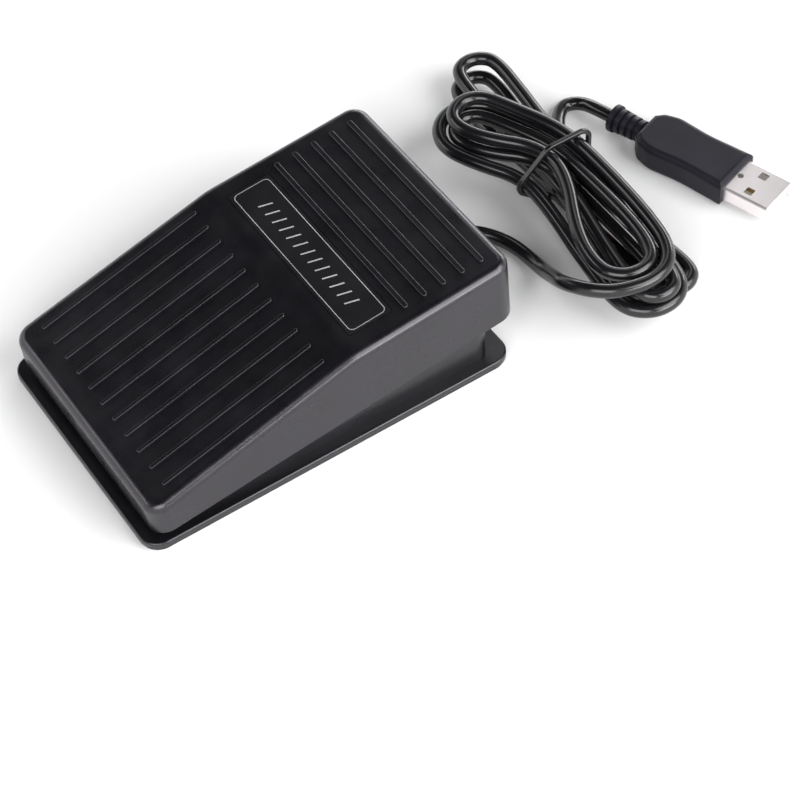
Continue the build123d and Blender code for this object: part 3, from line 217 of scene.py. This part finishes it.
# Each plastic: dark tone, light tone, least and most roughness, and what differs from the usual
plastics = {
    "cover_black": ((0.0020, 0.0019, 0.0028), (0.0042, 0.0040, 0.0056), 0.25, 0.33, {
        "grain": 2600.0, "grain_depth": 0.000004, "wave_depth": 0.00003,
        "ior": 1.66, "tint": (0.97, 0.92, 1.0),
    }),
    "base_black": ((0.0025, 0.0025, 0.0034), (0.0050, 0.0050, 0.0064), 0.26, 0.34, {
        "grain": 2600.0, "grain_depth": 0.000007, "wave_depth": 0.00004,
        "ior": 1.60, "tint": (0.97, 0.94, 1.0),
    }),
    "pad_black": ((0.008, 0.008, 0.009), (0.014, 0.014, 0.015), 0.62, 0.80, {
        "grain": 700.0, "grain_depth": 0.00006,
    }),
    "stop_grey": ((0.030, 0.030, 0.032), (0.050, 0.050, 0.053), 0.60, 0.75, {"grain": 700.0}),
    "label_black": ((0.003, 0.003, 0.004), (0.005, 0.005, 0.006), 0.32, 0.38, {
        "grain_depth": 0.000006,
    }),
    "print_pale": ((0.26, 0.26, 0.28), (0.42, 0.42, 0.44), 0.40, 0.50, {}),
    "cord_black": ((0.004, 0.004, 0.005), (0.008, 0.008, 0.009), 0.17, 0.25, {
        "grain": 900.0, "grain_depth": 0.00001, "wave_depth": 0.0001, "ior": 1.55,
    }),
    "plug_black": ((0.0050, 0.0048, 0.0080), (0.0105, 0.0100, 0.0150), 0.40, 0.50, {
        "grain": 1100.0, "grain_depth": 0.00003, "ior": 1.36, "tint": (0.92, 0.90, 1.0),
    }),
    "tie_black": ((0.005, 0.005, 0.006), (0.010, 0.010, 0.011), 0.20, 0.28, {}),
    "phenol_red": ((0.22, 0.022, 0.018), (0.30, 0.035, 0.026), 0.28, 0.38, {}),
    "phenol_black": ((0.015, 0.015, 0.015), (0.026, 0.026, 0.026), 0.38, 0.50, {}),
    "nylon_red": ((0.45, 0.03, 0.02), (0.58, 0.045, 0.03), 0.32, 0.42, {}),
    "nylon_ivory": ((0.70, 0.67, 0.58), (0.80, 0.78, 0.71), 0.40, 0.52, {}),
    "epoxy_black": ((0.018, 0.018, 0.020), (0.030, 0.030, 0.033), 0.50, 0.62, {"grain": 2200.0}),
    "ceramic_tan": ((0.44, 0.32, 0.20), (0.58, 0.45, 0.30), 0.45, 0.60, {}),
    "film_black": ((0.020, 0.020, 0.025), (0.040, 0.040, 0.045), 0.30, 0.42, {}),
    "wire_black_skin": ((0.010, 0.010, 0.010), (0.018, 0.018, 0.018), 0.34, 0.44, {}),
    "wire_green_skin": ((0.015, 0.22, 0.05), (0.03, 0.32, 0.09), 0.34, 0.44, {}),
    "wire_white_skin": ((0.72, 0.72, 0.70), (0.84, 0.84, 0.82), 0.34, 0.44, {}),
    "wire_red_skin": ((0.42, 0.02, 0.02), (0.58, 0.04, 0.03), 0.34, 0.44, {}),
    "tongue_white": ((0.66, 0.66, 0.63), (0.78, 0.78, 0.75), 0.42, 0.54, {}),
}
metals = {
    "pin_steel": ((0.50, 0.50, 0.51), (0.62, 0.62, 0.63), 0.18, 0.30, {"stretch": (0.1, 1, 1)}),
    "clip_steel": ((0.20, 0.21, 0.24), (0.32, 0.33, 0.37), 0.30, 0.44, {}),
    "spring_steel": ((0.42, 0.42, 0.44), (0.56, 0.56, 0.58), 0.22, 0.34, {}),
    "screw_zinc": ((0.58, 0.58, 0.55), (0.72, 0.72, 0.70), 0.20, 0.36, {}),
    "blade_brass": ((0.62, 0.52, 0.34), (0.74, 0.66, 0.46), 0.28, 0.42, {}),
    "lever_bright": ((0.55, 0.55, 0.56), (0.68, 0.68, 0.69), 0.22, 0.36, {"stretch": (1, 0.08, 1)}),
    "can_steel": ((0.58, 0.58, 0.57), (0.72, 0.72, 0.71), 0.20, 0.34, {}),
    "shell_nickel": ((0.90, 0.85, 0.85), (0.95, 0.90, 0.90), 0.30, 0.36, {
        "stretch": (1, 1, 0.2), "depth": 0.000002,
    }),
    "contact_gold": ((0.80, 0.58, 0.20), (0.90, 0.70, 0.32), 0.18, 0.28, {}),
}
materials = {}
for kind, table in ((plastic, plastics), (metal, metals)):
    for name, (dark, light, rough_low, rough_high, more) in table.items():
        materials[name] = kind(name, dark, light, rough_low, rough_high, **more)
materials["board_green"] = laminate("board_green", (0.01, 0.11, 0.04), (0.02, 0.17, 0.07))

finishes = {
    "base_black": ("base_tray", "cable_clamp"),
    "pad_black": ("grip_pad", "cable_grommet"),
    "cover_black": ("pedal_cover",),
    "label_black": ("label_plate",),
    "pin_steel": ("hinge_pin", "lever_pin"),
    "clip_steel": ("hinge_clips",),
    "spring_steel": ("return_spring_left", "return_spring_right"),
    "stop_grey": ("stop_bumpers",),
    "phenol_red": ("switch_case",),
    "phenol_black": ("switch_base",),
    "blade_brass": ("switch_terminals",),
    "lever_bright": ("switch_lever",),
    "nylon_red": ("switch_plunger",),
    "screw_zinc": ("switch_screws", "board_screws", "clamp_screws"),
    "board_green": ("circuit_board",),
    "epoxy_black": ("controller_chip",),
    "can_steel": ("crystal_can",),
    "ceramic_tan": ("board_capacitors",),
    "film_black": ("board_resistors",),
    "nylon_ivory": ("wire_header", "wire_housing"),
    "wire_black_skin": ("wire_black", "switch_wire_common"),
    "wire_green_skin": ("wire_green",),
    "wire_white_skin": ("wire_white",),
    "wire_red_skin": ("wire_red", "switch_wire_open"),
    "cord_black": ("cable_jacket", "cord_lead", "cord_hank", "cord_tail"),
    "tie_black": ("cord_tie",),
    "shell_nickel": ("plug_shell",),
    "tongue_white": ("plug_tongue",),
    "contact_gold": ("plug_contacts",),
    "plug_black": ("plug_body", "plug_relief"),
}
for finish, node_names in finishes.items():
    for node_name in node_names:
        node_mesh = nodes[node_name].data
        node_mesh.materials.clear()
        node_mesh.materials.append(materials[finish])

# Springs: each gets a mesh of its own, and its box and middle are found (hinge place in
# millimetres)
hinge_place = Vector((0, -40.533, 8.5))
for name in ("return_spring_left", "return_spring_right"):
    low, high = (Vector(corner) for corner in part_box(name))
    middle = (low + high) / 2
    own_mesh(nodes[name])

# Cord: one line from the grommet through the hank's loops to the plug, in millimetres
cord_radius = 1.8
lead_route = [
    (-5.0, 53.067, 5.6),
    (-5.0, 58.467, 5.6),
    (-3.4, 63.6, 3.9),
    (0.2, 67.7, 2.6),
    (5.2, 70.1, 2.0),
    (11.4, 70.7, 2.1),
    (17.8, 69.8, 4.4),
    (24.2, 67.8, 9.4),
    (30.4, 66.2, 13.7),
    (37.5, 69.3, 15.6),
    (41.45, 74.8, 15.65),
]
tail_route = [
    (-9.9, 96.3, 3.5),
    (-14.8, 98.6, 3.4),
    (-19.6, 101.6, 2.8),
    (-25.4, 105.4, 2.0),
    (-28.4, 109.4, 1.9),
    (-26.2, 113.4, 2.2),
    (-20.65, 114.35, 3.8),
    (-11.67, 117.17, 3.8),
]
hank_middle = Vector((-4.5, 90.0, 0.0))
hank_lift = 1.7
hank_pitch = 4.05
waist_inner = 2.15
waist_pitch = 4.26
middle_shift = 2.6
layers = 4
layer_turns = 1.5
first_turn = 0.26
last_turn = 5.5
middle_turn = 3.0
near_turn = 0.05
climb_turn = 0.25
waist_share = 0.2
shoulder_share = 0.75
round_share = 0.414
# Each layer, from the top: the loops' reach, half width and turn at the left and the right end
left_ends = [(33.0, 9.4, 22.5), (33.8, 10.4, 24.5), (50.3, 8.7, -7.0), (50.2, 10.5, -5.5)]
right_ends = [(49.1, 12.2, -11.9), (53.0, 8.0, -6.8), (51.5, 9.9, -6.2), (48.2, 8.0, 6.2)]
# Share of a turn at each control point, round the right end and then round the left
place_shares = (
    0.03, 0.10, 0.15, 0.22, 0.28, 0.35, 0.40, 0.47,
    0.53, 0.60, 0.65, 0.72, 0.78, 0.85, 0.90, 0.97,
)


def loop_layer(turn):
    """Layer that a turn lies in, from the top."""
    return min(int(turn / layer_turns), layers - 1)


def loop_offset(turn):
    """Turns inward from the outermost loop: even layers wind in, and odd ones wind out."""
    layer = loop_layer(turn)
    along = turn - layer * layer_turns
    return along if layer % 2 == 0 else layer_turns - along


def loop_height(turn):
    """Height of the cord's middle, which falls by a layer round each change."""
    drop = 0.0
    for change in range(1, layers):
        drop += min(max((turn - change * layer_turns) / climb_turn + 0.5, 0), 1)
    return hank_lift + cord_radius + (layers - 1 - drop) * hank_pitch


def loop_point(turn, place):
    """Control point of a loop: places count from the near waist round the right end and back."""
    offset = loop_offset(turn)
    half_count = len(place_shares) // 2
    rightward = place < half_count
    reach, half_width, fan = (right_ends if rightward else left_ends)[loop_layer(turn)]
    shoulder = reach - half_width
    lobe = half_width - offset * hank_pitch
    near = waist_inner + (1 - offset) * waist_pitch
    far = waist_inner + (layer_turns - offset) * waist_pitch
    if abs(turn - middle_turn) < near_turn:
        near += middle_shift
    spot = place if rightward else len(place_shares) - 1 - place
    across, along = [
        (waist_share * shoulder, -near),
        (shoulder_share * shoulder, -lobe),
        (shoulder + round_share * lobe, -lobe),
        (shoulder + lobe, -round_share * lobe),
        (shoulder + lobe, round_share * lobe),
        (shoulder + round_share * lobe, lobe),
        (shoulder_share * shoulder, lobe),
        (waist_share * shoulder, far),
    ][spot]
    turned = fan if 0 < spot < half_count - 1 else fan / 2
    point = Vector((across if rightward else -across, along, 0))
    point.rotate(Matrix.Rotation(math.radians(turned), 3, "Z"))
    return hank_middle + point + Vector((0, 0, loop_height(turn)))


hank_points = []
for loop in range(math.ceil(last_turn)):
    for place, share in enumerate(place_shares):
        if first_turn < loop + share < last_turn:
            hank_points.append(loop_point(loop + share, place))

cord_points = [Vector(p) for p in lead_route] + hank_points + [Vector(p) for p in tail_route]
cord_curve = bpy.data.curves.new("usb_cord", "CURVE")
cord_curve.dimensions = "3D"
cord_curve.bevel_depth = cord_radius * MM
cord_curve.bevel_resolution = 6
cord_curve.resolution_u = 12
cord_curve.use_fill_caps = True
cord_spline = cord_curve.splines.new("NURBS")
cord_spline.points.add(len(cord_points) - 1)
for control, point in zip(cord_spline.points, cord_points):
    control.co = (*(point * MM), 1.0)
cord_spline.order_u = 3
cord_spline.use_endpoint_u = True
usb_cord = bpy.data.objects.new("usb_cord", cord_curve)
bpy.context.scene.collection.objects.link(usb_cord)
cord_curve.materials.append(materials["cord_black"])
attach(usb_cord, "base")
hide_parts("cord_lead", "cord_hank", "cord_tail")

# Label print: a thin pale frame and a row of slanted bars on the cover's rear face, in millimetres
cover_tilt = math.radians(6.87)
crease_back = 48.7
crease_height = 15.3
roof_back = 93.0
roof_back_height = 14.2
label_size = Vector((53.4, 11.9))
label_middle = 8.75
print_lift = 0.03
frame_inset = 1.0
frame_corner = 1.4
frame_line = 0.18
corner_steps = 8
bar_count = 13
bar_pitch = 3.1
bar_length = 3.4
bar_width = 0.42
bar_slant = 1.1
corner_signs = ((1, 1), (-1, 1), (-1, -1), (1, -1))
back_slope = math.atan2(roof_back_height - crease_height, roof_back - crease_back)
cover_back = Vector((0, math.cos(cover_tilt), math.sin(cover_tilt)))
cover_up = Vector((0, -math.sin(cover_tilt), math.cos(cover_tilt)))
face_back = cover_back * math.cos(back_slope) + cover_up * math.sin(back_slope)
face_up = cover_up * math.cos(back_slope) - cover_back * math.sin(back_slope)
face_corner = hinge_place + cover_back * crease_back + cover_up * crease_height


def on_label(across, along):
    """Point on the label, from its middle, a hair above the face, in metres."""
    point = face_corner + face_back * (label_middle + along) + face_up * print_lift
    return (point + Vector((across, 0, 0))) * MM


def frame_loop(inset, corner):
    """Rounded rectangle inside the label's edge."""
    half_x = label_size.x / 2 - inset
    half_y = label_size.y / 2 - inset
    loop = []
    for quarter, (side, end) in enumerate(corner_signs):
        for step in range(corner_steps + 1):
            angle = math.radians(90 * (quarter + step / corner_steps))
            loop.append((
                side * (half_x - corner) + corner * math.cos(angle),
                end * (half_y - corner) + corner * math.sin(angle),
            ))
    return loop


outer = frame_loop(frame_inset, frame_corner)
inner = frame_loop(frame_inset + frame_line, frame_corner - frame_line)
print_points = [on_label(across, along) for across, along in outer + inner]
print_faces = []
for index in range(len(outer)):
    after = (index + 1) % len(outer)
    print_faces.append((index, after, len(outer) + after, len(outer) + index))
for index in range(bar_count):
    middle = (index - (bar_count - 1) / 2) * bar_pitch
    first = len(print_points)
    for side, end in ((-1, -1), (1, -1), (1, 1), (-1, 1)):
        across = middle + side * bar_width / 2 + end * bar_slant / 2
        print_points.append(on_label(across, end * bar_length / 2))
    print_faces.append((first, first + 1, first + 2, first + 3))
print_mesh = bpy.data.meshes.new("label_print")
print_mesh.from_pydata([tuple(point) for point in print_points], [], print_faces)
print_mesh.materials.append(materials["print_pale"])
label_print = bpy.data.objects.new("label_print", print_mesh)
bpy.context.scene.collection.objects.link(label_print)
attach(label_print, "pedal")

# Floor
floor_half = 4
floor_corners = [
    (-floor_half, -floor_half, 0),
    (floor_half, -floor_half, 0),
    (floor_half, floor_half, 0),
    (-floor_half, floor_half, 0),
]
floor_mesh = bpy.data.meshes.new("floor")
floor_mesh.from_pydata(floor_corners, [], [(0, 1, 2, 3)])
floor = bpy.data.objects.new("floor", floor_mesh)
bpy.context.scene.collection.objects.link(floor)
floor_material, floor_tree, floor_bsdf, floor_place = shader("floor_pale", roughness=0.75)
floor_noise = noise(floor_tree, floor_place, scale=3.0)
floor_tone = two_tone(floor_tree, floor_noise, (0.86, 0.86, 0.86), (0.88, 0.88, 0.88))
floor_tree.links.new(floor_tone, floor_bsdf.inputs["Base Color"])
floor_mesh.materials.append(floor_material)

# Sky: pale near the horizon and dark overhead, so that level faces reflect little
pale_below = 0.24
dark_above = 0.60
sky_pale = (0.95, 0.95, 0.96)
sky_dark = (0.02, 0.02, 0.022)
sky_strength = 1.35
world = bpy.data.worlds.new("studio")
bpy.context.scene.world = world
world.use_nodes = True
sky = world.node_tree
sky_place = sky.nodes.new("ShaderNodeTexCoord")
split = sky.nodes.new("ShaderNodeSeparateXYZ")
sky.links.new(sky_place.outputs["Generated"], split.inputs["Vector"])
fade = sky.nodes.new("ShaderNodeValToRGB")
set_ramp(fade, pale_below, sky_pale, dark_above, sky_dark)
sky.links.new(split.outputs["Z"], fade.inputs["Fac"])
sky.links.new(fade.outputs["Color"], sky.nodes["Background"].inputs["Color"])
sky.nodes["Background"].inputs["Strength"].default_value = sky_strength


def area_light(name, place, target, size, power):
    """Rectangular light turned to a target: size in metres, power in watts."""
    light = bpy.data.lights.new(name, "AREA")
    light.shape = "RECTANGLE"
    light.size, light.size_y = size
    light.energy = power
    lamp = bpy.data.objects.new(name, light)
    bpy.context.scene.collection.objects.link(lamp)
    aim = (Vector(target) - Vector(place)).to_track_quat("-Z", "Y").to_matrix().to_4x4()
    lamp.matrix_world = Matrix.Translation(Vector(place)) @ aim


area_light("key", (1.2, 0.9, 1.3), (0, 0.03, 0), (1.6, 1.2), 34.0)
area_light("near_side", (1.1, -1.1, 1.2), (0, 0, 0), (1.6, 1.1), 28.0)
area_light("rear_strip", (-0.80, 1.20, 0.42), (0, 0.03, 0), (1.4, 0.30), 8.0)
area_light("front_strip", (-0.95, -1.05, 0.95), (0, 0, 0), (1.2, 0.30), 4.0)
area_light("right_strip", (1.45, 0.55, 0.50), (0, 0.03, 0), (1.2, 0.35), 12.0)
area_light("plug_card", (-0.29, 0.34, 0.46), (0.03, 0.13, 0.005), (0.17, 0.17), 0.15)
bpy.context.scene.view_settings.view_transform = "Standard"
